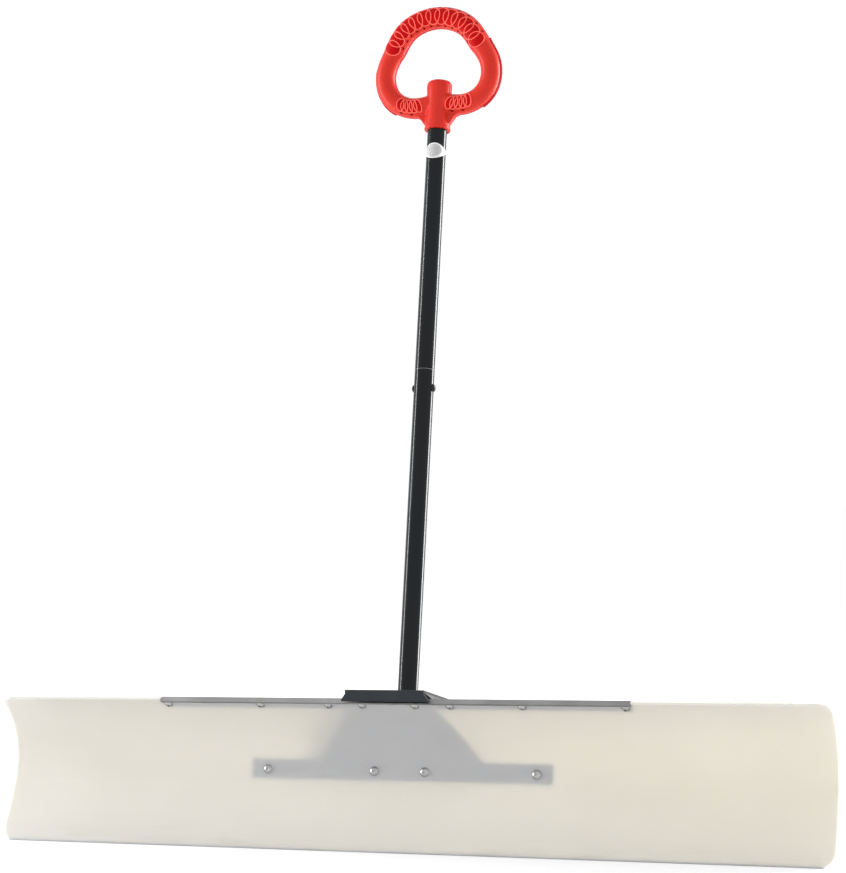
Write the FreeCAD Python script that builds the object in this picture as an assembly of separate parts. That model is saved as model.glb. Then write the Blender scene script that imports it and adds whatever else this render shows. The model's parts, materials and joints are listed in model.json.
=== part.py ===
import FreeCAD, Part
import math
import os

# Wide snow pusher with a D-grip, in millimetres.
# X runs along the blade, -Y is the concave front that gathers the snow, +Z is up.
# The origin is the middle of the blade's lower edge. The tube leans back from the blade, so
# everything that follows the tube is drawn in its own frame, with the tube's axis on local Z,
# and is then leaned into place.

# Blade: one bent plastic sheet, a gentle lower arc that rolls into a tight upper arc.
blade_width = 1219.0
sheet = 4.5
corner_radius = 17.0
edge_front = -2.8
lower_radius = 349.0
upper_radius = 101.0
foot_angle = -37.0
blend_angle = -21.0
top_angle = 56.0

# Aluminium channel that stiffens the middle of the blade's top edge.
rail_half = 346.0
rail_wall = 1.5
rail_relief = 3.6
rail_lip = 2.2
rail_leg = 16.0

# Bracket behind the blade.
plate = 3.0
cap_half = 58.0
cap_front = -88.2
cap_rear = 24.0
cap_top = -7.9
lip_half = 64.0
lip_front = 1.7
lip_foot = 205.4
lip_flare_foot = 207.6
lip_flare_top = 216.0
web_front = 18.0
floor_top = -96.0
floor_half = 127.0
bar_half = 223.0
bar_angles = (-17.0, -2.4)

# Fasteners through the sheet.
top_bolt_x = (39.0, 90.0, 193.0, 337.0)
top_bolt_angle = 49.0
low_bolt_x = (37.5, 200.0)
low_bolt_angle = -10.1
shank_radius = 3.0
hole_radius = 3.2
head_radius = 6.0
low_head_radius = 6.5
head_height = 2.8
socket_flats = 4.0
socket_depth = 1.6
nut_flats = 10.0
nut_height = 5.0
thin_nut_height = 2.4
washer_radius = 7.0
washer_height = 0.8

# Tube.
tube_lean = 13.1
tube_y = 91.5
tube_z = 208.8
tube_radius = 14.5
tube_bore = 13.05
tube_foot_end = -84.0
joint_height = 467.5
joint_gap = 0.3
tube_top = 905.0
foot_bolt_height = -60.0

# Spigot of the upper tube, its spring clip and the two snap buttons.
spigot_radius = 12.98
spigot_bore = 11.55
spigot_length = 70.0
shoulder = 4.0
button_height = 440.3
button_radius = 6.0
button_hole = 6.3
button_flange_radius = 6.9
button_back = 8.0
button_flange = 1.0
button_dome_start = 14.9
button_reach = 18.2
clip_thickness = 0.7
clip_half_width = 4.0
clip_leg = 7.35
clip_bend = 415.0
clip_top = 447.0

# D-grip.
grip_radius = 15.7
pad_depth = 1.2
grip_wall = 3.0
boss_radius = 18.8
boss_foot = 836.0
boss_top = 907.0
loop_centre = 945.0
loop_bearings = (90.0, 65.0, 40.0, 15.0, -10.0, -35.0, -62.0)
loop_reach = (60.0, 61.4, 65.0, 69.0, 83.9, 90.5, 78.9)
loop_pivot = 880.0
loop_tilt = 12.0
pad_windows = (("top", 9, 171), ("left", 226, 254), ("right", 286, 314))
screw_radius = 1.5
screw_head_radius = 3.2
screw_seat = 7.0
label_height = 800.5
label_facing = 6.0

V = FreeCAD.Vector
X_AXIS = V(1, 0, 0)
Y_AXIS = V(0, 1, 0)
Z_AXIS = V(0, 0, 1)


# The two arc centres of the blade's front surface, in the YZ plane.
def polar(centre, radius, angle):
    bearing = math.radians(angle)
    return V(0, centre.y + radius * math.cos(bearing), centre.z + radius * math.sin(bearing))


lower_centre = polar(V(0, edge_front, 0), -lower_radius, foot_angle)
blend_point = polar(lower_centre, lower_radius, blend_angle)
upper_centre = polar(blend_point, -upper_radius, blend_angle)

lean = FreeCAD.Placement(V(0, tube_y, tube_z), FreeCAD.Rotation(X_AXIS, -tube_lean))
nodes = {}


def placed(shape, placement):
    moved = shape.copy()
    moved.Placement = placement.multiply(moved.Placement)
    return moved


def on_tube(shape):
    return placed(shape, lean)


def fused(shapes):
    whole = shapes[0]
    for shape in shapes[1:]:
        whole = whole.fuse(shape)
    return whole.removeSplitter()


def box(x0, x1, y0, y1, z0, z1):
    return Part.makeBox(x1 - x0, y1 - y0, z1 - z0, V(x0, y0, z0))


def ring(outer, inner, z0, z1):
    body = Part.makeCylinder(outer, z1 - z0, V(0, 0, z0))
    return body.cut(Part.makeCylinder(inner, z1 - z0 + 2, V(0, 0, z0 - 1)))


def prism(points, direction):
    return Part.Face(Part.makePolygon(points + [points[0]])).extrude(direction)


def arc(centre, radius, start, end):
    middle = (start + end) / 2
    ends = [polar(centre, radius, angle) for angle in (start, middle, end)]
    return Part.Arc(ends[0], ends[1], ends[2]).toShape()


def extruded_along_blade(edges, half):
    face = Part.Face(Part.Wire(edges))
    face.translate(V(-half, 0, 0))
    return face.extrude(V(2 * half, 0, 0))


# A strip that follows the blade's upper arc, between two depths behind the front surface.
def upper_strip(inner, outer, start, end, half):
    near = upper_radius + inner
    far = upper_radius + outer
    edges = [
        arc(upper_centre, far, start, end),
        Part.makeLine(polar(upper_centre, far, end), polar(upper_centre, near, end)),
        arc(upper_centre, near, end, start),
        Part.makeLine(polar(upper_centre, near, start), polar(upper_centre, far, start)),
    ]
    return extruded_along_blade(edges, half)


# Turns a length along the upper arc into the angle it covers.
def arc_span(length):
    return math.degrees(length / upper_radius)


# Seat of a fastener: local Z points out of the back of the sheet, local Y runs down the sheet.
def seat(centre, radius, angle, x):
    spot = polar(centre, radius, angle)
    return FreeCAD.Placement(V(x, spot.y, spot.z), FreeCAD.Rotation(X_AXIS, angle - 90))


def bolt_seats(xs, angle):
    return [seat(upper_centre, upper_radius, angle, side * x) for x in xs for side in (-1, 1)]


def drilled(shape, seats):
    for place in seats:
        shape = shape.cut(placed(Part.makeCylinder(hole_radius, 60, V(0, 0, -20)), place))
    return shape


# What is cut off one corner of the sheet. The arc is a little flatter than a quarter circle, so it
# meets both edges at a small angle.
def corner_waste(place, side, down):
    size = corner_radius
    offset = size * 1.15
    slack = 5
    xs = sorted((-side * size, side * slack))
    ys = sorted((down * size, -down * slack))
    block = box(xs[0], xs[1], ys[0], ys[1], -25, 25)
    arc_radius = math.hypot(offset, offset - size)
    return placed(block.cut(Part.makeCylinder(arc_radius, 60, V(-side * offset, down * offset, -30))), place)


def make_blade():
    run_out = foot_angle - 2.5
    front_foot = polar(lower_centre, lower_radius, run_out)
    back_foot = polar(lower_centre, lower_radius + sheet, run_out)
    front_top = polar(upper_centre, upper_radius, top_angle)
    back_top = polar(upper_centre, upper_radius + sheet, top_angle)
    edges = [
        arc(lower_centre, lower_radius, run_out, blend_angle),
        arc(upper_centre, upper_radius, blend_angle, top_angle),
        Part.makeLine(front_top, back_top),
        arc(upper_centre, upper_radius + sheet, top_angle, blend_angle),
        arc(lower_centre, lower_radius + sheet, blend_angle, run_out),
        Part.makeLine(back_foot, front_foot),
    ]
    half = blade_width / 2
    blade = extruded_along_blade(edges, half)
    blade = blade.cut(box(-half - 5, half + 5, -60, 60, -60, 0))
    for side in (-1, 1):
        top = seat(upper_centre, upper_radius, top_angle, side * half)
        foot = FreeCAD.Placement(V(side * half, 0, 0), FreeCAD.Rotation(X_AXIS, -90))
        blade = blade.cut(corner_waste(top, side, 1)).cut(corner_waste(foot, side, -1))
    trimmed = top_angle - arc_span(rail_relief)
    blade = blade.cut(upper_strip(-2, sheet + 2, trimmed, top_angle + 3, rail_half + 0.4))
    return drilled(blade, bolt_seats(top_bolt_x, top_bolt_angle) + bolt_seats(low_bolt_x, low_bolt_angle))


def make_rail():
    end = top_angle - arc_span(rail_relief)
    back_leg = upper_strip(sheet, sheet + rail_wall, end - arc_span(rail_leg), end, rail_half)
    front_lip = upper_strip(-rail_wall, 0, end - arc_span(rail_lip), end, rail_half)
    place = seat(upper_centre, upper_radius, end, 0)
    crown = box(-rail_half, rail_half, -rail_wall, 0, -rail_wall, sheet + rail_wall)
    rail = fused([back_leg, front_lip, placed(crown, place)])
    return drilled(rail, bolt_seats(top_bolt_x, top_bolt_angle))


# The bracket's cap lies square to the tube and hangs a flared lip over the rail.
def make_cap():
    top = box(-cap_half, cap_half, cap_front, cap_rear, cap_top - plate, cap_top)
    corner = lean.multVec(V(0, cap_front, cap_top))
    outline = [
        V(-cap_half, lip_front, corner.z),
        V(cap_half, lip_front, corner.z),
        V(cap_half, lip_front, lip_flare_top),
        V(lip_half, lip_front, lip_flare_foot),
        V(lip_half, lip_front, lip_foot),
        V(-lip_half, lip_front, lip_foot),
        V(-lip_half, lip_front, lip_flare_foot),
        V(-cap_half, lip_front, lip_flare_top),
    ]
    lip = prism(outline, V(0, plate, 0))
    inside = cap_half - 4.5
    behind_rail = sheet + rail_wall
    flange = upper_strip(behind_rail, behind_rail + plate, top_bolt_angle - 10, top_bolt_angle + 3, inside)
    root = lean.inverse().multVec(polar(upper_centre, upper_radius + behind_rail, top_bolt_angle + 2.5))
    link = box(-inside, inside, root.y, root.y + plate, root.z, cap_top - plate)
    cap = fused([on_tube(top), lip, flange, on_tube(link)])
    cap = cap.cut(on_tube(Part.makeCylinder(tube_radius + 0.3, 40, V(0, 0, -30))))
    nut_space = Part.makeCylinder(washer_radius + 0.4, 12, V(0, 0, behind_rail + plate))
    for place in bolt_seats(top_bolt_x[:1], top_bolt_angle):
        cap = cap.cut(placed(nut_space, place))
    return drilled(cap, bolt_seats(top_bolt_x[:1], top_bolt_angle))


# Side walls spread from the cap down to the floor of the bracket.
def make_wall(side):
    roof = cap_top - plate
    across = plate * 1.3
    slab = prism(
        [
            V(side * cap_half, -150, roof),
            V(side * floor_half, -150, floor_top),
            V(side * (floor_half - across), -150, floor_top),
            V(side * (cap_half - across), -150, roof),
        ],
        V(0, 150 + web_front, 0),
    )
    blank = box(-200, 200, cap_front + 4, web_front, floor_top, roof)
    behind_blade = upper_radius + sheet + rail_wall + plate + 0.3
    blade_space = Part.makeCylinder(behind_blade, 400, V(-200, upper_centre.y, upper_centre.z), X_AXIS)
    return on_tube(slab.common(blank)).cut(blade_space)


# Back web of the bracket, folded forward into a floor and down onto the lower bar.
def make_web():
    roof = cap_top - plate
    back = prism(
        [
            V(-cap_half, web_front, roof),
            V(cap_half, web_front, roof),
            V(floor_half, web_front, floor_top),
            V(-floor_half, web_front, floor_top),
        ],
        V(0, plate, 0),
    )
    bar_back = sheet + plate
    floor = box(-floor_half, floor_half, -9.3, web_front + plate, floor_top - plate, floor_top)
    flange = upper_strip(bar_back, bar_back + plate, bar_angles[0] + 1.5, -2.7, floor_half)
    bolt_hole = Part.makeCylinder(hole_radius, 20, V(0, web_front - 5, foot_bolt_height), Y_AXIS)
    web = fused([on_tube(back), on_tube(floor), flange]).cut(on_tube(bolt_hole))
    return drilled(web, bolt_seats(low_bolt_x[:1], low_bolt_angle))


def make_bar():
    bar = upper_strip(sheet, sheet + plate, bar_angles[0], bar_angles[1], bar_half)
    return drilled(bar, bolt_seats(low_bolt_x, low_bolt_angle))


# Solid foot that plugs the lower tube and stands on the bracket's floor.
def make_tube_foot():
    block = box(-16, 16, -8.5, web_front, floor_top, tube_foot_end)
    plug = Part.makeCylinder(tube_bore - 0.1, 44, V(0, 0, tube_foot_end))
    cross = Part.makeCylinder(hole_radius, 60, V(0, -30, foot_bolt_height), Y_AXIS)
    return on_tube(fused([block, plug]).cut(cross))


def make_collar():
    roof = cap_top - plate
    collar = ring(tube_radius + 6.5, tube_radius + 0.3, roof - 8, roof)
    in_front_of_web = box(-30, 30, -30, web_front - 0.05, roof - 8, roof)
    return on_tube(collar.common(in_front_of_web))


def dome(radius, height):
    sphere_radius = (radius ** 2 + height ** 2) / (2 * height)
    ball = Part.makeSphere(sphere_radius, V(0, 0, sphere_radius - height))
    return ball.common(box(-radius, radius, -radius, radius, -height, 0))


def hex_prism(flats, foot, height):
    corner = flats / math.sqrt(3)
    turns = [k * math.pi / 3 for k in range(6)]
    points = [V(corner * math.cos(turn), corner * math.sin(turn), foot) for turn in turns]
    return prism(points, V(0, 0, height))


def hex_nut(flats, height):
    corner = flats / math.sqrt(3)
    body = hex_prism(flats, 0, height)
    bevel = Part.makeCone(corner + height * 1.6, corner * 0.92, height, V(0, 0, 0))
    return body.common(bevel)


# The rim of a flat head meets the hollow sheet before its middle does, so the head stands off.
def make_bolt(radius, grip_length, nut):
    stand_off = radius ** 2 / (2 * upper_radius) + 0.02
    head = dome(radius, head_height)
    head = head.cut(hex_prism(socket_flats, -head_height - 1, 1 + socket_depth))
    head.translate(V(0, 0, -stand_off))
    length = stand_off + grip_length + nut + 0.4
    shank = Part.makeCylinder(shank_radius, length, V(0, 0, -stand_off))
    return fused([head, shank])


def make_nut(depth, height):
    washer = Part.makeCylinder(washer_radius, washer_height, V(0, 0, depth))
    nut = hex_nut(nut_flats, height)
    nut.translate(V(0, 0, depth + washer_height))
    return fused([washer, nut]).cut(Part.makeCylinder(shank_radius + 0.05, 40, V(0, 0, depth - 5)))


# One bolt and one flanged nut at each hole; the stack under each nut differs along the blade.
def make_fasteners(prefix, xs, angle, radius, stacks, nut):
    for x, stack in zip(xs, stacks):
        for side, hand in ((-1, "left"), (1, "right")):
            place = seat(upper_centre, upper_radius, angle, side * x)
            tag = f"{hand}_{xs.index(x) + 1}"
            nodes[f"{prefix}_bolt_{tag}"] = placed(make_bolt(radius, stack + washer_height, nut), place)
            nodes[f"{prefix}_nut_{tag}"] = placed(make_nut(stack, nut), place)


def make_foot_bolt():
    back = web_front + plate
    length = back + tube_radius + 6
    shank = Part.makeCylinder(shank_radius, length, V(0, 0, 0))
    bolt = fused([dome(low_head_radius, 3.2), shank])
    turn = FreeCAD.Placement(V(0, back, foot_bolt_height), FreeCAD.Rotation(X_AXIS, 90))
    nut = hex_nut(nut_flats, nut_height).cut(Part.makeCylinder(shank_radius + 0.05, 20, V(0, 0, -5)))
    nut.translate(V(0, 0, back + tube_radius))
    nodes["foot_bolt"] = on_tube(placed(bolt, turn))
    nodes["foot_nut"] = on_tube(placed(nut, turn))


def button_bore(radius):
    return Part.makeCylinder(radius, 60, V(-30, 0, button_height), X_AXIS)


def make_lower_tube():
    tube = ring(tube_radius, tube_bore, tube_foot_end, joint_height)
    cross = Part.makeCylinder(hole_radius, 60, V(0, -30, foot_bolt_height), Y_AXIS)
    return on_tube(tube.cut(cross).cut(button_bore(button_hole)))


def make_upper_tube():
    start = joint_height + joint_gap
    body = ring(tube_radius, tube_bore, start, tube_top)
    neck = ring(tube_radius, spigot_bore, start, start + shoulder)
    spigot = ring(spigot_radius, spigot_bore, joint_height - spigot_length, start + shoulder)
    return on_tube(fused([body, neck, spigot]).cut(button_bore(button_hole)))


# U-shaped leaf spring inside the spigot; its two legs carry the buttons.
def make_spring_clip():
    outer = clip_leg + clip_thickness / 2
    inner = clip_leg - clip_thickness / 2
    bend = Part.makeCylinder(outer, 2 * clip_half_width, V(0, -clip_half_width, clip_bend), Y_AXIS)
    bend = bend.cut(Part.makeCylinder(inner, 60, V(0, -30, clip_bend), Y_AXIS))
    bend = bend.common(box(-20, 20, -20, 20, clip_bend - 20, clip_bend))
    legs = [
        box(min(side * inner, side * outer), max(side * inner, side * outer),
            -clip_half_width, clip_half_width, clip_bend, clip_top)
        for side in (-1, 1)
    ]
    return on_tube(fused([bend] + legs))


def make_button(side):
    flange = Part.makeCylinder(button_flange_radius, button_flange, V(0, 0, button_back))
    shank_start = button_back + button_flange
    shank = Part.makeCylinder(button_radius, button_dome_start - shank_start, V(0, 0, shank_start))
    crown = dome(button_radius, button_reach - button_dome_start)
    crown = crown.mirror(V(0, 0, 0), Z_AXIS)
    crown.translate(V(0, 0, button_dome_start))
    button = fused([flange, shank, crown])
    turn = FreeCAD.Placement(V(0, 0, button_height), FreeCAD.Rotation(Y_AXIS, side * 90))
    return on_tube(placed(button, turn))


# The loop leans forward from the tube about a pivot at the root of its arms.
def loop_point(x, height):
    return V(x, -math.tan(math.radians(loop_tilt)) * (height - loop_pivot), height)


def loop_path():
    right = []
    for bearing, reach in zip(loop_bearings, loop_reach):
        angle = math.radians(bearing)
        right.append((reach * math.cos(angle), loop_centre + reach * math.sin(angle)))
    inner_x = boss_radius - 9
    inner_height = right[-1][1] + 3
    side = [loop_point(x, height) for x, height in right] + [loop_point(inner_x, inner_height)]
    points = [V(-p.x, p.y, p.z) for p in reversed(side[1:])] + side
    curve = Part.BSplineCurve()
    curve.interpolate(points)
    return Part.Wire(curve.toShape())


def loop_pipe(path, radius):
    edge = path.Edges[0]
    start = edge.valueAt(edge.FirstParameter)
    along = edge.tangentAt(edge.FirstParameter)
    circle = Part.Wire(Part.makeCircle(radius, start, along))
    return path.makePipeShell([circle], True, False)


# Everything in front of the grip's parting line, which follows the tube and then the tilted loop.
def front_space():
    crest = loop_centre + 120
    points = [
        V(-150, -90, boss_foot - 10),
        V(-150, 0, boss_foot - 10),
        V(-150, 0, loop_pivot),
        V(-150, loop_point(0, crest).y, crest),
        V(-150, -90, crest),
    ]
    return prism(points, V(300, 0, 0))


def make_boss(radius, foot, top):
    body = Part.makeCylinder(radius, top - foot, V(0, 0, foot))
    cap = dome(radius, 6).mirror(V(0, 0, 0), Z_AXIS)
    cap.translate(V(0, 0, top))
    return fused([body, cap])


# Small flat webs that carry each arm down to the collar.
def make_arm_web(side):
    points = [
        V(side * (boss_radius - 4), -2.5, boss_foot + 12),
        V(side * (boss_radius + 1), -2.5, boss_foot + 12),
        V(side * (boss_radius + 9), -2.5, boss_foot + 28),
        V(side * (boss_radius - 4), -2.5, boss_foot + 40),
    ]
    return prism(points, V(0, 5, 0))


# Pad windows: wedges of the loop seen from its centre.
def pad_window(start, end):
    rim = 200
    points = [V(0, -90, loop_centre)]
    steps = 6
    for k in range(steps + 1):
        angle = math.radians(start + (end - start) * k / steps)
        points.append(V(rim * math.cos(angle), -90, loop_centre + rim * math.sin(angle)))
    return prism(points, V(0, 180, 0))


def screw_spots():
    lobe = math.radians(loop_bearings[-1])
    reach = loop_reach[-1]
    low_x = reach * math.cos(lobe)
    low_height = loop_centre + reach * math.sin(lobe)
    return [
        ("top", loop_point(0, loop_centre + loop_reach[0])),
        ("left", loop_point(-low_x, low_height)),
        ("right", loop_point(low_x, low_height)),
    ]


def make_grip():
    path = loop_path()
    outer = loop_pipe(path, grip_radius)
    middle = loop_pipe(path, grip_radius - pad_depth)
    inner = loop_pipe(path, grip_radius - grip_wall)
    boss = make_boss(boss_radius, boss_foot, boss_top)
    socket = Part.makeCylinder(tube_radius + 0.05, tube_top - boss_foot + 1.5, V(0, 0, boss_foot - 1))
    webs = [make_arm_web(side) for side in (-1, 1)]
    solid = fused([outer, boss] + webs)
    hollow = inner.cut(Part.makeCylinder(boss_radius - 1, 200, V(0, 0, boss_foot - 20)))
    solid = solid.cut(socket).cut(hollow)
    posts = [
        Part.makeCylinder(4.2, 26, V(spot.x, spot.y - 13, spot.z), Y_AXIS)
        for name, spot in screw_spots()
    ]
    solid = fused([solid] + posts)
    for name, spot in screw_spots():
        bottom = V(spot.x, spot.y - 9.2, spot.z)
        under_head = V(spot.x, spot.y + screw_seat, spot.z)
        solid = solid.cut(Part.makeCylinder(screw_radius + 0.02, 60, bottom, Y_AXIS))
        solid = solid.cut(Part.makeCylinder(screw_head_radius + 0.3, 60, under_head, Y_AXIS))
        shank = Part.makeCylinder(screw_radius, screw_seat + 9, bottom + V(0, 0.2, 0), Y_AXIS)
        head = Part.makeCylinder(screw_head_radius, 2.2, under_head, Y_AXIS)
        nodes[f"grip_screw_{name}"] = on_tube(fused([shank, head]))
    front = front_space()
    skin = outer.cut(middle).common(front)
    skin = skin.common(front.translated(V(0, -4, 0)))
    for name, start, end in pad_windows:
        pad = skin.common(pad_window(start, end))
        pad = pad.cut(Part.makeCylinder(boss_radius + 3, 200, V(0, 0, boss_foot - 20)))
        solid = solid.cut(pad)
        nodes[f"grip_pad_{name}"] = on_tube(pad)
    nodes["grip_front_shell"] = on_tube(solid.common(front))
    nodes["grip_rear_shell"] = on_tube(solid.cut(front))


# Blank oval label wrapped on the front of the upper tube.
def make_label():
    skin = ring(tube_radius + 0.2, tube_radius, label_height - 12, label_height + 12)
    ellipse = Part.Ellipse(V(0, 0, 0), 15, 12)
    oval = Part.Face(Part.Wire(ellipse.toShape())).extrude(V(0, 0, 30))
    turn = FreeCAD.Placement(V(0, 0, label_height), FreeCAD.Rotation(X_AXIS, 90))
    face = FreeCAD.Placement(V(0, 0, 0), FreeCAD.Rotation(Z_AXIS, label_facing))
    return on_tube(placed(skin.common(placed(oval, turn)), face))


def build():
    nodes["blade"] = make_blade()
    nodes["top_rail"] = make_rail()
    nodes["bracket_cap"] = make_cap()
    nodes["bracket_wall_left"] = make_wall(-1)
    nodes["bracket_wall_right"] = make_wall(1)
    nodes["bracket_web"] = make_web()
    nodes["lower_bar"] = make_bar()
    nodes["tube_foot"] = make_tube_foot()
    nodes["tube_collar"] = make_collar()
    nodes["lower_tube"] = make_lower_tube()
    nodes["upper_tube"] = make_upper_tube()
    nodes["spring_clip"] = make_spring_clip()
    nodes["snap_button_left"] = make_button(-1)
    nodes["snap_button_right"] = make_button(1)
    nodes["label"] = make_label()
    railed = sheet + rail_wall
    stacks = (railed + plate, railed, railed, railed)
    make_fasteners("rail", top_bolt_x, top_bolt_angle, head_radius, stacks, thin_nut_height)
    barred = sheet + plate
    stacks = (barred + plate, barred)
    make_fasteners("bar", low_bolt_x, low_bolt_angle, low_head_radius, stacks, nut_height)
    make_foot_bolt()
    make_grip()


build()
os.makedirs("parts", exist_ok=True)
for name, shape in nodes.items():
    if len(shape.Solids) != 1 or not shape.isValid():
        print(name, "is not one sound solid")
    shape.exportStep(f"parts/{name}.step")
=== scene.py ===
import json
import math

import bmesh
import bpy
import numpy as np
from mathutils import Matrix, Vector


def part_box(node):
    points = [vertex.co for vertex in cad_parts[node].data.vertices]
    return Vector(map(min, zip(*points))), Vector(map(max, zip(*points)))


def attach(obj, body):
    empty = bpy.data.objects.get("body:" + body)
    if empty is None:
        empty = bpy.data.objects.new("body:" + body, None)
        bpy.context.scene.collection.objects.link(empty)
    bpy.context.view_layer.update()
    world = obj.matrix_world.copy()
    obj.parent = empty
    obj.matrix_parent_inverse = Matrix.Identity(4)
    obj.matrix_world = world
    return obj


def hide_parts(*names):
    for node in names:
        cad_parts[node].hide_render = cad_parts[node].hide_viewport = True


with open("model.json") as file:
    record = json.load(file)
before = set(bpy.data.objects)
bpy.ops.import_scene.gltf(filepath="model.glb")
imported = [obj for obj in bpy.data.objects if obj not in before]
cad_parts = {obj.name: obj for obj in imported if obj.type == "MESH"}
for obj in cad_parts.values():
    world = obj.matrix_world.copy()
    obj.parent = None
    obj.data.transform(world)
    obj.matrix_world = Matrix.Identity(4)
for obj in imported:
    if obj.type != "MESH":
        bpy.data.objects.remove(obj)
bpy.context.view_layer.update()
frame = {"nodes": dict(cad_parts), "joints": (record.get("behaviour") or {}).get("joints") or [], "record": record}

MM = 0.001
ROOT = "blade_assembly"
HANDLE = "upper_handle"

# ---------------------------------------------------------------- the tube's own frame
# The tube leans back from the blade. Its axis is worked out from the lower tube's box and the
# direction of the joint that draws the handle out of it.
pull = next(joint for joint in frame["joints"] if joint["name"] == "handle_pull")
UP = Vector(pull["axis"]).normalized()
SIDE = Vector((1, 0, 0))
BACK = UP.cross(SIDE).normalized()
low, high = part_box("lower_tube")
TUBE_R = (high.x - low.x) / 2
FOOT = Vector((0, low.y + TUBE_R * UP.z, low.z + TUBE_R * UP.y))
TUBE_FOOT_HEIGHT = -84.0 * MM
TUBE_FRAME = Matrix((SIDE, BACK, UP)).transposed()


def tube_height(corner):
    """How far up the tube its end face is, from the top corner of the tube's box."""
    return (corner.z - FOOT.z - TUBE_R * math.sqrt(1 - UP.z ** 2)) / UP.z + TUBE_FOOT_HEIGHT


def on_tube(x, back, height):
    """A point given across, behind and up the tube, in the shared frame."""
    return FOOT + SIDE * x + BACK * back + UP * (height - TUBE_FOOT_HEIGHT)


# ---------------------------------------------------------------- materials
class Paint:
    """A material and short ways to add nodes to it."""

    def __init__(self, name, **values):
        self.material = bpy.data.materials.new(name)
        self.material.use_nodes = True
        self.tree = self.material.node_tree
        self.shader = self.tree.nodes["Principled BSDF"]
        self.coords = self.add("ShaderNodeTexCoord").outputs["Object"]
        for socket, value in values.items():
            self.shader.inputs[socket.replace("_", " ")].default_value = value

    def add(self, kind, **settings):
        node = self.tree.nodes.new(kind)
        for key, value in settings.items():
            setattr(node, key, value)
        return node

    def link(self, source, target):
        self.tree.links.new(source, target)

    def noise(self, scale, stretch=(1, 1, 1), detail=4.0, rough=0.55):
        mapping = self.add("ShaderNodeMapping")
        mapping.inputs["Scale"].default_value = stretch
        self.link(self.coords, mapping.inputs["Vector"])
        texture = self.add("ShaderNodeTexNoise")
        texture.inputs["Scale"].default_value = scale
        texture.inputs["Detail"].default_value = detail
        texture.inputs["Roughness"].default_value = rough
        self.link(mapping.outputs["Vector"], texture.inputs["Vector"])
        return texture.outputs["Fac"]

    def ramp(self, fac, low_at, low_value, high_at, high_value):
        node = self.add("ShaderNodeMapRange")
        node.inputs["From Min"].default_value = low_at
        node.inputs["From Max"].default_value = high_at
        node.inputs["To Min"].default_value = low_value
        node.inputs["To Max"].default_value = high_value
        self.link(fac, node.inputs["Value"])
        return node.outputs["Result"]

    def blend(self, fac, first, second):
        node = self.add("ShaderNodeMix", data_type="RGBA")
        self.link(fac, node.inputs["Factor"])
        for socket, value in ((node.inputs["A"], first), (node.inputs["B"], second)):
            if isinstance(value, tuple):
                socket.default_value = (*value, 1)
            else:
                self.link(value, socket)
        return node.outputs["Result"]

    def multiply(self, first, second):
        node = self.add("ShaderNodeMath", operation="MULTIPLY")
        self.link(first, node.inputs[0])
        self.link(second, node.inputs[1])
        return node.outputs[0]

    def axis(self, letter):
        node = self.add("ShaderNodeSeparateXYZ")
        self.link(self.coords, node.inputs[0])
        return node.outputs[letter]

    def colour(self, source):
        self.link(source, self.shader.inputs["Base Color"])

    def roughness(self, source):
        self.link(source, self.shader.inputs["Roughness"])

    def bump(self, layers, edge=0.0005):
        soft = self.add("ShaderNodeBevel", samples=4)
        soft.inputs["Radius"].default_value = edge
        normal = soft.outputs["Normal"]
        for height, strength, distance in layers:
            node = self.add("ShaderNodeBump")
            node.inputs["Strength"].default_value = strength
            node.inputs["Distance"].default_value = distance
            self.link(height, node.inputs["Height"])
            self.link(normal, node.inputs["Normal"])
            normal = node.outputs["Normal"]
        self.link(normal, self.shader.inputs["Normal"])


def sheet_plastic():
    p = Paint("milky_sheet", Subsurface_Weight=1.0, Subsurface_Scale=0.016, IOR=1.5)
    p.shader.inputs["Subsurface Radius"].default_value = (1.0, 0.93, 0.76)
    p.shader.inputs["Specular IOR Level"].default_value = 0.42
    cloud = p.noise(3.0, (1, 1, 1.6), 3)
    fine = p.noise(160.0, (0.25, 1, 1), 5)
    tint = p.blend(p.ramp(cloud, 0.3, 0, 0.7, 1), (0.462, 0.462, 0.464), (0.437, 0.435, 0.433))
    wear = p.ramp(p.axis("Z"), 0.0, 0.55, 0.030, 0.0)
    scuffs = p.multiply(p.ramp(p.noise(45.0, (0.25, 1, 2.5), 6, 0.7), 0.48, 0, 0.66, 1), wear)
    p.colour(p.blend(scuffs, tint, (0.38, 0.37, 0.35)))
    p.roughness(p.ramp(fine, 0.3, 0.34, 0.7, 0.50))
    p.bump([(p.noise(6.0, (0.35, 1, 1.4), 2), 0.25, 0.004), (fine, 0.12, 0.0004)])
    return p.material


def mill_aluminium(name, tone, rough):
    p = Paint(name, Metallic=1.0)
    grain = p.noise(900.0, (0.02, 1, 1), 6, 0.7)
    cloud = p.noise(14.0, (1, 1, 1), 4)
    dark = tuple(c * 0.72 for c in tone)
    p.colour(p.blend(p.ramp(cloud, 0.32, 0, 0.68, 1), tone, dark))
    p.roughness(p.ramp(grain, 0.25, rough - 0.08, 0.75, rough + 0.12))
    p.bump([(grain, 0.25, 0.0002), (cloud, 0.10, 0.001)])
    return p.material


def cast_metal():
    p = Paint("mottled_metal", Metallic=0.6, Specular_IOR_Level=0.3)
    spangle = p.noise(120.0, (1, 1, 1), 5, 0.65)
    cloud = p.noise(22.0, (1, 1, 1), 3)
    tone = p.blend(p.ramp(spangle, 0.35, 0, 0.65, 1), (0.150, 0.150, 0.147), (0.085, 0.085, 0.085))
    p.colour(p.blend(p.ramp(cloud, 0.35, 0, 0.75, 0.5), tone, (0.075, 0.076, 0.078)))
    p.roughness(p.ramp(spangle, 0.3, 0.46, 0.7, 0.64))
    p.bump([(spangle, 0.3, 0.0003)])
    return p.material


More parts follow.
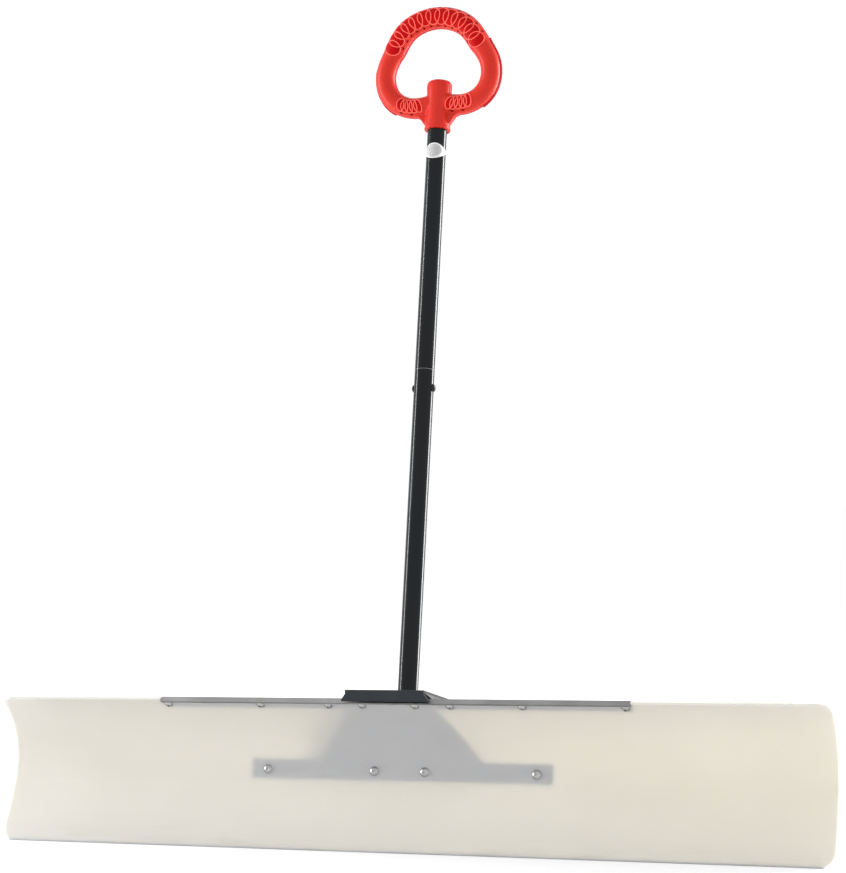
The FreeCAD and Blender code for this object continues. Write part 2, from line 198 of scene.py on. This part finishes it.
def powder_coat():
    p = Paint("charcoal_coat", Specular_IOR_Level=0.22)
    grit = p.noise(1400.0, (1, 1, 1), 3)
    cloud = p.noise(30.0, (1, 1, 1), 3)
    p.colour(p.blend(p.ramp(cloud, 0.3, 0, 0.7, 1), (0.022, 0.027, 0.033), (0.015, 0.018, 0.023)))
    p.roughness(p.ramp(grit, 0.3, 0.46, 0.7, 0.62))
    p.bump([(grit, 0.35, 0.00025)])
    return p.material


def gloss_black(name, base, rough):
    p = Paint(name, Specular_IOR_Level=0.24)
    smear = p.noise(30.0, (1, 1, 0.3), 5, 0.65)
    peel = p.noise(260.0, (1, 1, 1), 2)
    p.colour(p.blend(p.ramp(smear, 0.3, 0, 0.7, 1), base, tuple(c * 1.35 for c in base)))
    p.roughness(p.ramp(smear, 0.3, rough, 0.75, rough + 0.06))
    p.bump([(peel, 0.02, 0.0004)])
    return p.material


def moulded(name, first, second, rough, sss=0.12, shine=0.20):
    p = Paint(name, Subsurface_Weight=sss, Subsurface_Scale=0.003, Specular_IOR_Level=shine)
    p.shader.inputs["Subsurface Radius"].default_value = (1.0, 0.25, 0.15)
    cloud = p.noise(28.0, (1, 1, 1), 3)
    grit = p.noise(1700.0, (1, 1, 1), 3)
    p.colour(p.blend(p.ramp(cloud, 0.3, 0, 0.7, 1), first, second))
    p.roughness(p.ramp(grit, 0.3, rough - 0.05, 0.7, rough + 0.08))
    p.bump([(grit, 0.18, 0.00012), (cloud, 0.08, 0.0006)])
    return p.material


def plated_steel(name, tone, rough):
    p = Paint(name, Metallic=1.0)
    cloud = p.noise(180.0, (1, 1, 1), 4)
    fine = p.noise(2200.0, (1, 1, 0.2), 4)
    p.colour(p.blend(p.ramp(cloud, 0.3, 0, 0.7, 1), tone, tuple(c * 0.78 for c in tone)))
    p.roughness(p.ramp(fine, 0.3, rough - 0.06, 0.7, rough + 0.10))
    p.bump([(fine, 0.12, 0.0001)])
    return p.material


def silver_film():
    """Brushed film with a lighter rim that follows the oval's edge."""
    p = Paint("silver_film", Metallic=0.2)
    low_end, high_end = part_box("label")
    middle = (low_end + high_end) / 2
    half = (high_end - low_end) / 2
    fit = p.add("ShaderNodeMapping")
    fit.inputs["Scale"].default_value = (1 / half.x, 0, 1 / half.z)
    fit.inputs["Location"].default_value = (-middle.x / half.x, 0, -middle.z / half.z)
    p.link(p.coords, fit.inputs["Vector"])
    reach = p.add("ShaderNodeVectorMath", operation="LENGTH")
    p.link(fit.outputs["Vector"], reach.inputs[0])
    sheen = p.noise(420.0, (0.12, 1, 1), 3)
    grain = p.noise(2600.0, (1, 1, 1), 2)
    brushed = p.blend(p.ramp(sheen, 0.3, 0, 0.7, 1), (0.50, 0.50, 0.50), (0.38, 0.38, 0.39))
    p.colour(p.blend(p.ramp(reach.outputs["Value"], 0.80, 0, 0.88, 1), brushed, (0.74, 0.74, 0.74)))
    p.roughness(p.ramp(grain, 0.3, 0.50, 0.7, 0.62))
    p.bump([(grain, 0.08, 0.00008)])
    return p.material


SHEET = sheet_plastic()
RAIL = mill_aluminium("mill_aluminium", (0.31, 0.31, 0.31), 0.42)
METAL = cast_metal()
CHARCOAL = powder_coat()
BLACK = gloss_black("gloss_black_coat", (0.0005, 0.0018, 0.0028), 0.14)
BUTTON = gloss_black("gloss_black_button", (0.008, 0.008, 0.009), 0.10)
RED = moulded("orange_red_shell", (0.59, 0.024, 0.012), (0.53, 0.018, 0.009), 0.36)
DEEP_RED = moulded("rear_red_shell", (0.42, 0.010, 0.010), (0.37, 0.008, 0.008), 0.44, 0.05, 0.12)
PAD_RED = moulded("pad_red", (0.46, 0.0004, 0.0012), (0.40, 0.0004, 0.0012), 0.46, 0.0, 0.08)
# The beads are the shell's own orange-red painted much lighter: a painted highlight on the raised beads.
RING_RED_PAINTED_HIGHLIGHT = moulded("ring_red_painted_highlight", (0.95, 0.13, 0.095), (0.92, 0.115, 0.085), 0.38)
DOT_RED = moulded("dot_dark_red", (0.13, 0.001, 0.002), (0.10, 0.001, 0.002), 0.5, 0.0, 0.05)
ZINC = plated_steel("zinc_plate", (0.44, 0.44, 0.43), 0.20)
SPRING = plated_steel("spring_steel", (0.40, 0.41, 0.43), 0.30)
# Light metal for the rim at the tube joint: a painted highlight on the lower tube's rounded top edge.
JOINT_EDGE_HIGHLIGHT = plated_steel("tube_edge_painted_highlight", (0.34, 0.35, 0.36), 0.40)
FILM = silver_film()

MATERIAL_OF_SLOT = {
    "blade_plastic": SHEET,
    "rail_aluminium": RAIL,
    "charcoal_paint": CHARCOAL,
    "bracket_metal": METAL,
    "tube_black": BLACK,
    "spring_steel": SPRING,
    "button_black": BUTTON,
    "label_silver": FILM,
    "grip_red": RED,
    "grip_rear_red": DEEP_RED,
    "pad_red": PAD_RED,
    "fastener_steel": ZINC,
}


def dress(obj, material):
    obj.data.materials.clear()
    obj.data.materials.append(material)


for sub in frame["record"]["subparts"]:
    node = frame["nodes"][sub["node"]]
    for place in node.material_slots:
        place.material = MATERIAL_OF_SLOT[sub["material_slot"]]


# ---------------------------------------------------------------- mesh helpers
def add_object(name, mesh, material):
    obj = bpy.data.objects.new(name, mesh)
    bpy.context.scene.collection.objects.link(obj)
    dress(obj, material)
    return obj


def mesh_object(name, vertices, faces, material, smooth=True):
    mesh = bpy.data.meshes.new(name)
    mesh.from_pydata([tuple(v) for v in vertices], [], faces)
    mesh.validate()
    if smooth:
        mesh.shade_smooth()
    return add_object(name, mesh, material)


def smooth_object(name, bm, material):
    """Turns an edited mesh into a smooth object and lets the edited mesh go."""
    mesh = bpy.data.meshes.new(name)
    bm.to_mesh(mesh)
    bm.free()
    mesh.shade_smooth()
    return add_object(name, mesh, material)


def apply_modifiers(obj):
    graph = bpy.context.evaluated_depsgraph_get()
    graph.update()
    mesh = bpy.data.meshes.new_from_object(obj.evaluated_get(graph))
    obj.modifiers.clear()
    obj.data = mesh


def join_data(name, parts, material):
    whole = bmesh.new()
    for part in parts:
        whole.from_mesh(part.data)
        bpy.data.objects.remove(part)
    return smooth_object(name, whole, material)


def keep(obj, body, slot, *nodes):
    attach(obj, body)
    if nodes:
        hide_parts(*nodes)


# ---------------------------------------------------------------- the grip's loop
LOOP_CENTRE = 945.0 * MM
LOOP_PIVOT = 880.0 * MM
LOOP_TILT = math.radians(12.0)
LOOP_BEARINGS = (90.0, 65.0, 40.0, 15.0, -10.0, -35.0, -62.0)
LOOP_REACH = (60.0, 61.4, 65.0, 69.0, 83.9, 90.5, 78.9)
BOSS_R = 18.6 * MM
BOSS_FOOT = 836.0 * MM
BOSS_TOP = 913.0 * MM
TILT_NORMAL = (BACK * math.cos(LOOP_TILT) + UP * math.sin(LOOP_TILT)).normalized()


def loop_place(x, height):
    return on_tube(x, -math.tan(LOOP_TILT) * (height - LOOP_PIVOT), height)


def natural_spline(points, count):
    """Evenly spread points on the smooth cubic curve through the given ones."""
    p = np.array([tuple(q) for q in points])
    t = np.concatenate([[0], np.cumsum(np.linalg.norm(np.diff(p, axis=0), axis=1))])
    n = len(t)
    h = np.diff(t)
    system = np.eye(n)
    right = np.zeros((n, 3))
    for i in range(1, n - 1):
        system[i, i - 1 : i + 2] = (h[i - 1], 2 * (h[i - 1] + h[i]), h[i])
        right[i] = 6 * ((p[i + 1] - p[i]) / h[i] - (p[i] - p[i - 1]) / h[i - 1])
    second = np.linalg.solve(system, right)
    at = np.linspace(0, t[-1], count)
    k = np.clip(np.searchsorted(t, at, side="right") - 1, 0, n - 2)
    a = ((t[k + 1] - at) / h[k])[:, None]
    b = ((at - t[k]) / h[k])[:, None]
    bend = ((a**3 - a) * second[k] + (b**3 - b) * second[k + 1]) * (h[k] ** 2)[:, None] / 6
    return [Vector(q) for q in a * p[k] + b * p[k + 1] + bend]


def loop_line(count):
    right = []
    for bearing, reach in zip(LOOP_BEARINGS, LOOP_REACH):
        angle = math.radians(bearing)
        right.append((reach * MM * math.cos(angle), LOOP_CENTRE + reach * MM * math.sin(angle)))
    right.append((10.3 * MM, right[-1][1] + 3 * MM))
    side = [loop_place(x, h) for x, h in right]
    mirrored = [loop_place(-x, h) for x, h in reversed(right[1:])]
    return natural_spline(mirrored + side, count)


LOOP_STEPS = 480
LINE = loop_line(LOOP_STEPS)
LENGTHS = np.concatenate([[0], np.cumsum([(b - a).length for a, b in zip(LINE, LINE[1:])])])
LOOP_LENGTH = LENGTHS[-1]


def line_frame(along):
    """Centre and outward direction at a length along the loop."""
    i = min(max(int(np.searchsorted(LENGTHS, along)) - 1, 0), LOOP_STEPS - 2)
    part = (along - LENGTHS[i]) / (LENGTHS[i + 1] - LENGTHS[i])
    centre = LINE[i].lerp(LINE[i + 1], part)
    before, after = LINE[max(i - 2, 0)], LINE[min(i + 3, LOOP_STEPS - 1)]
    direction = (after - before).normalized()
    outward = direction.cross(TILT_NORMAL).normalized()
    if outward.dot(centre - loop_place(0, LOOP_CENTRE)) < 0:
        outward = -outward
    return centre, outward


CROWN_HALF = 90.0 * MM
CROWN_EXTRA = 1.5
STEP_SOFT = 4.0 * MM
SIDE_R = 14.9
LOBE_EXTRA = 0.6
LOBE_AT = 215 * MM
LOBE_SPREAD = 22 * MM


def loop_radius(along):
    """The crown of the loop is a little thicker than its sides, with a soft step between."""
    off = abs(along - LOOP_LENGTH / 2) - CROWN_HALF
    blend = 1 / (1 + math.exp(off / STEP_SOFT * 2))
    lobe = math.exp(-(((abs(along - LOOP_LENGTH / 2) - LOBE_AT) / LOBE_SPREAD) ** 2))
    return (SIDE_R + CROWN_EXTRA * blend + LOBE_EXTRA * lobe) * MM


def loop_surface(along, tilt, lift=0.0):
    """A point on the loop's skin; tilt is the angle from the front towards the outer side."""
    centre, outward = line_frame(along)
    front = -TILT_NORMAL
    radial = front * math.cos(tilt) + outward * math.sin(tilt)
    return centre + radial * (loop_radius(along) + lift), radial


def make_loop_tube(rings=260, sides=64):
    vertices, faces = [], []
    for i in range(rings):
        along = LOOP_LENGTH * i / (rings - 1)
        for j in range(sides):
            vertices.append(loop_surface(along, 2 * math.pi * j / sides)[0])
    for i in range(rings - 1):
        for j in range(sides):
            a, b = i * sides + j, i * sides + (j + 1) % sides
            faces.append((a, b, b + sides, a + sides))
    faces.append(tuple(reversed(range(sides))))
    faces.append(tuple((rings - 1) * sides + j for j in range(sides)))
    return mesh_object("loop_tube", vertices, faces, RED)


def lathe(name, profile, sides, material, caps=True):
    """Turns (radius, height) pairs round the axis; without caps the outline closes on itself."""
    vertices, faces = [], []
    for radius, height in profile:
        for j in range(sides):
            turn = 2 * math.pi * j / sides
            vertices.append(on_tube(radius * math.cos(turn), radius * math.sin(turn), height))
    for i in range(len(profile) - 1):
        for j in range(sides):
            a, b = i * sides + j, i * sides + (j + 1) % sides
            faces.append((a, b, b + sides, a + sides))
    if caps:
        faces.append(tuple(reversed(range(sides))))
        faces.append(tuple((len(profile) - 1) * sides + j for j in range(sides)))
    else:
        last = (len(profile) - 1) * sides
        for j in range(sides):
            a, b = last + j, last + (j + 1) % sides
            faces.append((a, b, (j + 1) % sides, j))
    return mesh_object(name, vertices, faces, material)


def make_column():
    edge = 5.5 * MM
    profile = [(BOSS_R + 0.3 * MM, BOSS_FOOT), (BOSS_R + 0.9 * MM, BOSS_FOOT + 1 * MM)]
    profile += [(BOSS_R + 0.9 * MM, BOSS_FOOT + 3.5 * MM), (BOSS_R + 0.2 * MM, BOSS_FOOT + 6 * MM)]
    # Radius and height, both in millimetres: the column narrows a little below its top.
    waist = [(18.6, 848), (18.0, 862), (17.4, 876), (17.6, 886), (18.2, 894), (18.6, 900)]
    profile += [(r * MM, h * MM) for r, h in waist]
    for k in range(7):
        turn = math.pi / 2 * k / 6
        height = BOSS_TOP - edge + edge * math.sin(turn)
        profile.append((BOSS_R - edge + edge * math.cos(turn), height))
    return lathe("column", profile, 72, RED)


def make_arm_web(side):
    """A thick flat web that joins one arm to the collar below it."""
    half = 5.0 * MM
    outline = [(12, 842), (20.5, 846), (27, 856), (36, 862), (36, 874), (12, 880)]
    vertices = []
    for back in (-half, half):
        vertices += [on_tube(side * x * MM, back, h * MM) for x, h in outline]
    n = len(outline)
    faces = [tuple(range(n)), tuple(reversed(range(n, 2 * n)))]
    faces += [(k, k + n, (k + 1) % n + n, (k + 1) % n) for k in range(n)]
    return mesh_object("arm_web", vertices, faces, RED, smooth=False)


def make_grip_body():
    parts = [make_loop_tube(), make_column(), make_arm_web(-1), make_arm_web(1)]
    body = join_data("grip_body", parts, RED)
    bm = bmesh.new()
    bm.from_mesh(body.data)
    bmesh.ops.recalc_face_normals(bm, faces=bm.faces)
    bm.to_mesh(body.data)
    bm.free()
    remesh = body.modifiers.new("blend", "REMESH")
    remesh.mode = "VOXEL"
    remesh.voxel_size = 1.0 * MM
    remesh.use_smooth_shade = True
    smooth = body.modifiers.new("soften", "SMOOTH")
    smooth.factor = 0.5
    smooth.iterations = 9
    apply_modifiers(body)
    return body


PART_OFFSET = -1.6 * MM
SEAM_TAPER = 0.8 * MM


def cut_half(body, name, material, keep_front, grow):
    """One shell of the grip: the body cut at the parting plane, with its rim drawn in a little."""
    bm = bmesh.new()
    bm.from_mesh(body.data)
    centre = loop_place(0, LOOP_PIVOT) + TILT_NORMAL * PART_OFFSET
    found = bmesh.ops.bisect_plane(
        bm,
        geom=bm.verts[:] + bm.edges[:] + bm.faces[:],
        plane_co=centre,
        plane_no=TILT_NORMAL,
        clear_outer=keep_front,
        clear_inner=not keep_front,
    )
    rim = [e for e in found["geom_cut"] if isinstance(e, bmesh.types.BMEdge)]
    bmesh.ops.triangle_fill(bm, edges=rim, use_beauty=False, use_dissolve=False)
    bmesh.ops.recalc_face_normals(bm, faces=bm.faces)
    if grow:
        bm.normal_update()
        for v in bm.verts:
            off = (v.co - centre).dot(TILT_NORMAL)
            v.co += v.normal * grow * min(1, abs(off) / SEAM_TAPER)
    return smooth_object(name, bm, material)


# ---------------------------------------------------------------- ring pattern
# Each zone is a row of overlapping ellipses wrapped on the front of the loop. A raised bead
# follows every ellipse, and the field inside them is the soft insert.
BEAD_R = 0.85 * MM
BEAD_LIFT = 0.12 * MM
BEAD_SIDES = 8
RING_STEPS = 72
RING_AHEAD = 0.01
FIELD_CELL = 0.55 * MM
FIELD_LIFTS = (0.22 * MM, -0.5 * MM)
DOT_LIFTS = (0.16 * MM, -0.6 * MM)
DOT_REACH = (2.3 * MM, 2.0 * MM)
SKIN_R = 16 * MM
# Step to each neighbouring cell, and the two corners of the edge shared with it.
NEIGHBOUR_EDGES = (((0, -1), (0, 1)), ((1, 0), (1, 2)), ((0, 1), (2, 3)), ((-1, 0), (3, 0)))


class Zone:
    def __init__(self, name, middle, count, pitch, half_width, tilt_centre, tilt_half, shear=0.0):
        self.name = name
        self.centres = [middle + (k - (count - 1) / 2) * pitch for k in range(count)]
        self.half_width = half_width
        self.tilt_centre = math.radians(tilt_centre)
        self.tilt_half = math.radians(tilt_half)
        self.shear = shear

    def spot(self, centre, turn):
        tilt = self.tilt_centre + self.tilt_half * math.sin(turn)
        along = centre + self.half_width * math.cos(turn) + self.shear * math.sin(turn)
        return along, tilt

    def inside(self, along, tilt):
        height = (tilt - self.tilt_centre) / self.tilt_half
        for centre in self.centres:
            across = (along - centre - self.shear * height) / self.half_width
            if across * across + height * height < 1:
                return True
        return False


def add_bead(zone, centre, vertices, faces):
    base = len(vertices)
    for i in range(RING_STEPS):
        turn = 2 * math.pi * i / RING_STEPS
        along, tilt = zone.spot(centre, turn)
        ahead_along, ahead_tilt = zone.spot(centre, turn + RING_AHEAD)
        spot, radial = loop_surface(along, tilt, BEAD_LIFT)
        ahead = loop_surface(ahead_along, ahead_tilt, BEAD_LIFT)[0]
        across = (ahead - spot).normalized().cross(radial).normalized()
        for j in range(BEAD_SIDES):
            a = 2 * math.pi * j / BEAD_SIDES
            vertices.append(spot + (across * math.cos(a) + radial * math.sin(a)) * BEAD_R)
    for i in range(RING_STEPS):
        for j in range(BEAD_SIDES):
            k = (i + 1) % RING_STEPS
            m = (j + 1) % BEAD_SIDES
            faces.append((base + i * BEAD_SIDES + j, base + k * BEAD_SIDES + j,
                          base + k * BEAD_SIDES + m, base + i * BEAD_SIDES + m))


def make_rings(zone):
    vertices, faces = [], []
    for centre in zone.centres:
        add_bead(zone, centre, vertices, faces)
    # The beads' light coral is a painted highlight on the shell's orange-red.
    return mesh_object("grip_rings_" + zone.name, vertices, faces, RING_RED_PAINTED_HIGHLIGHT)


def make_field(zone):
    """The insert inside the ellipses: a thin closed skin cut to their outline."""
    first = zone.centres[0] - zone.half_width - abs(zone.shear)
    last = zone.centres[-1] + zone.half_width + abs(zone.shear)
    columns = int((last - first) / FIELD_CELL)
    rows = int(2 * zone.tilt_half * SKIN_R / FIELD_CELL)
    bm = bmesh.new()
    lattice = {}

    def corner(i, j):
        if (i, j) not in lattice:
            along = first + (last - first) * i / columns
            tilt = zone.tilt_centre + zone.tilt_half * (2 * j / rows - 1)
            skins = [loop_surface(along, tilt, lift)[0] for lift in FIELD_LIFTS]
            lattice[i, j] = [bm.verts.new(place) for place in skins]
        return lattice[i, j]

    filled = set()
    for i in range(columns):
        for j in range(rows):
            along = first + (last - first) * (i + 0.5) / columns
            tilt = zone.tilt_centre + zone.tilt_half * (2 * (j + 0.5) / rows - 1)
            if zone.inside(along, tilt):
                filled.add((i, j))
    for i, j in sorted(filled):
        quad = [corner(i, j), corner(i + 1, j), corner(i + 1, j + 1), corner(i, j + 1)]
        bm.faces.new([v[0] for v in quad])
        bm.faces.new([v[1] for v in reversed(quad)])
        for (di, dj), (a, b) in NEIGHBOUR_EDGES:
            if (i + di, j + dj) not in filled:
                bm.faces.new((quad[b][0], quad[a][0], quad[a][1], quad[b][1]))
    bmesh.ops.recalc_face_normals(bm, faces=bm.faces)
    return smooth_object("grip_field_" + zone.name, bm, PAD_RED)


def make_dots(zone, rows, gaps):
    """Small dark diamonds in the notches between neighbouring rings."""
    vertices, faces = [], []
    for tilt_deg in rows:
        for k in gaps:
            along = (zone.centres[k] + zone.centres[k + 1]) / 2
            tilt = math.radians(tilt_deg)
            reach_a, reach_t = DOT_REACH[0], DOT_REACH[1] / SKIN_R
            base = len(vertices)
            for lift in DOT_LIFTS:
                for a, t in ((reach_a, 0), (0, reach_t), (-reach_a, 0), (0, -reach_t)):
                    vertices.append(loop_surface(along + a, tilt + t, lift)[0])
            faces.append(tuple(base + n for n in range(4)))
            faces.append(tuple(base + 7 - n for n in range(4)))
            for n in range(4):
                m = (n + 1) % 4
                faces.append((base + m, base + n, base + 4 + n, base + 4 + m))
    return mesh_object("grip_dots_" + zone.name, vertices, faces, DOT_RED, smooth=False)


COVER_SPAN = (88.0 * MM, 178.0 * MM)
COVER_LIFT = 2.0 * MM


def raise_cover(obj):
    """The rear shell is thicker along both sides of the loop, with an abrupt start and end."""
    line = np.array([tuple(p) for p in LINE])
    middle = np.array(tuple(loop_place(0, LOOP_CENTRE)))
    for vertex in obj.data.vertices:
        spot = np.array(tuple(vertex.co))
        away = line - spot
        near = int(np.argmin((away * away).sum(axis=1)))
        off = abs(LENGTHS[near] - LOOP_LENGTH / 2)
        outward = line[near] - middle
        outward /= np.linalg.norm(outward)
        radial = spot - line[near]
        outer_part = float(radial @ outward) / (np.linalg.norm(radial) + 1e-9)
        behind = float(radial @ np.array(tuple(TILT_NORMAL)))
        if COVER_SPAN[0] < off < COVER_SPAN[1] and outer_part > 0 and behind > 0.4 * MM:
            direction = Vector(radial / np.linalg.norm(radial))
            vertex.co += direction * COVER_LIFT * min(1, 2 * outer_part)


def nearest_along(x, low_part):
    """Length along the loop at which its centre line has this x, low or high on the loop."""
    best = None
    for i, p in enumerate(LINE):
        on_low = (p - loop_place(0, LOOP_CENTRE)).dot(UP) < 0
        if on_low == low_part:
            miss = abs(p.x - x)
            if best is None or miss < best[0]:
                best = (miss, LENGTHS[i])
    return best[1]


def make_pattern():
    crown = Zone("top", LOOP_LENGTH / 2, 13, 13.7 * MM, 10.7 * MM, 4, 47)
    lobes = []
    for name, side, reach in (("left", -1, 42.5), ("right", 1, 36.5)):
        middle = nearest_along(side * reach * MM, True)
        lobes.append(Zone(name, middle, 5, 7.2 * MM, 6.0 * MM, -5, 38, side * 2.0 * MM))
    for zone in [crown] + lobes:
        keep(make_field(zone), HANDLE, "pad_red", "grip_pad_" + zone.name)
        keep(make_rings(zone), HANDLE, "grip_red")
    keep(make_dots(crown, (-55, 63), range(12)), HANDLE, "pad_red")
    for zone in lobes:
        keep(make_dots(zone, (45,), (1, 3)), HANDLE, "pad_red")


body = make_grip_body()
front = cut_half(body, "grip_front", RED, True, 0.0)
rear = cut_half(body, "grip_rear", DEEP_RED, False, 0.3 * MM)
raise_cover(rear)
bpy.data.objects.remove(body)
keep(front, HANDLE, "grip_red", "grip_front_shell")
keep(rear, HANDLE, "grip_rear_red", "grip_rear_shell")
make_pattern()


# ---------------------------------------------------------------- joint between the tubes
RIM_R = 0.30 * MM
RIM_SIDES = 12


def make_joint_edge():
    """A fine rolled rim at the top edge of the lower tube, at the joint between the two tubes; its light metal
    colour is a painted highlight along that rounded edge.
    """
    top = tube_height(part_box("lower_tube")[1])
    middle = TUBE_R + 0.02 * MM
    profile = []
    for k in range(RIM_SIDES):
        turn = 2 * math.pi * k / RIM_SIDES
        height = top - RIM_R - 0.1 * MM + RIM_R * math.sin(turn)
        profile.append((middle + RIM_R * math.cos(turn), height))
    keep(lathe("joint_edge", profile, 96, JOINT_EDGE_HIGHLIGHT, caps=False), ROOT, "tube_black")


make_joint_edge()


# ---------------------------------------------------------------- floor, light and camera
FLOOR_SIZE = 40.0
FLOOR_DROP = 0.5 * MM


def make_stage():
    bpy.ops.mesh.primitive_plane_add(size=FLOOR_SIZE, location=(0, 0, -FLOOR_DROP))
    floor = bpy.context.object
    floor.name = "floor"
    p = Paint("pale_floor", Roughness=0.9)
    p.shader.inputs["Base Color"].default_value = (0.97, 0.97, 0.97, 1)
    dress(floor, p.material)


def area_light(name, place, target, size, energy):
    data = bpy.data.lights.new(name, "AREA")
    data.shape = "RECTANGLE"
    data.size, data.size_y = size
    data.energy = energy
    light = bpy.data.objects.new(name, data)
    light.location = place
    light.rotation_mode = "QUATERNION"
    light.rotation_quaternion = (Vector(target) - Vector(place)).to_track_quat("-Z", "Y")
    bpy.context.scene.collection.objects.link(light)


def make_light():
    world = bpy.data.worlds.new("studio")
    world.use_nodes = True
    world.node_tree.nodes["Background"].inputs["Color"].default_value = (1, 1, 1, 1)
    world.node_tree.nodes["Background"].inputs["Strength"].default_value = 1.04
    bpy.context.scene.world = world
    area_light("strip_right", (1.85, 1.98, 0.9), (0, 0, 0.5), (0.60, 2.2), 108)
    area_light("strip_left", (-2.37, -0.40, 0.9), (0, 0, 0.5), (0.18, 2.2), 48)


# Viewing angle: from the right of the front, almost level, with the horizon turned slightly.
CAMERA_AZIMUTH = math.radians(20.846)
CAMERA_ELEVATION = math.radians(-0.79)
CAMERA_ROLL = math.radians(-1.763)
CAMERA_PLACE = Vector((1.1411, -2.8148, 0.5239))
CAMERA_LENS = 91.6


def make_camera():
    data = bpy.data.cameras.new("camera")
    data.sensor_width = 36
    data.lens = CAMERA_LENS
    camera = bpy.data.objects.new("camera", data)
    az, el = CAMERA_AZIMUTH, CAMERA_ELEVATION
    ahead = Vector((-math.sin(az) * math.cos(el), math.cos(az) * math.cos(el), -math.sin(el)))
    level = Vector((math.cos(az), math.sin(az), 0))
    above = level.cross(ahead)
    right = level * math.cos(CAMERA_ROLL) + above * math.sin(CAMERA_ROLL)
    up = above * math.cos(CAMERA_ROLL) - level * math.sin(CAMERA_ROLL)
    turn = Matrix((right, up, -ahead)).transposed().to_4x4()
    camera.matrix_world = Matrix.Translation(CAMERA_PLACE) @ turn
    bpy.context.scene.collection.objects.link(camera)
    bpy.context.scene.camera = camera


make_stage()
make_light()
make_camera()
bpy.context.scene.view_settings.view_transform = "Standard"
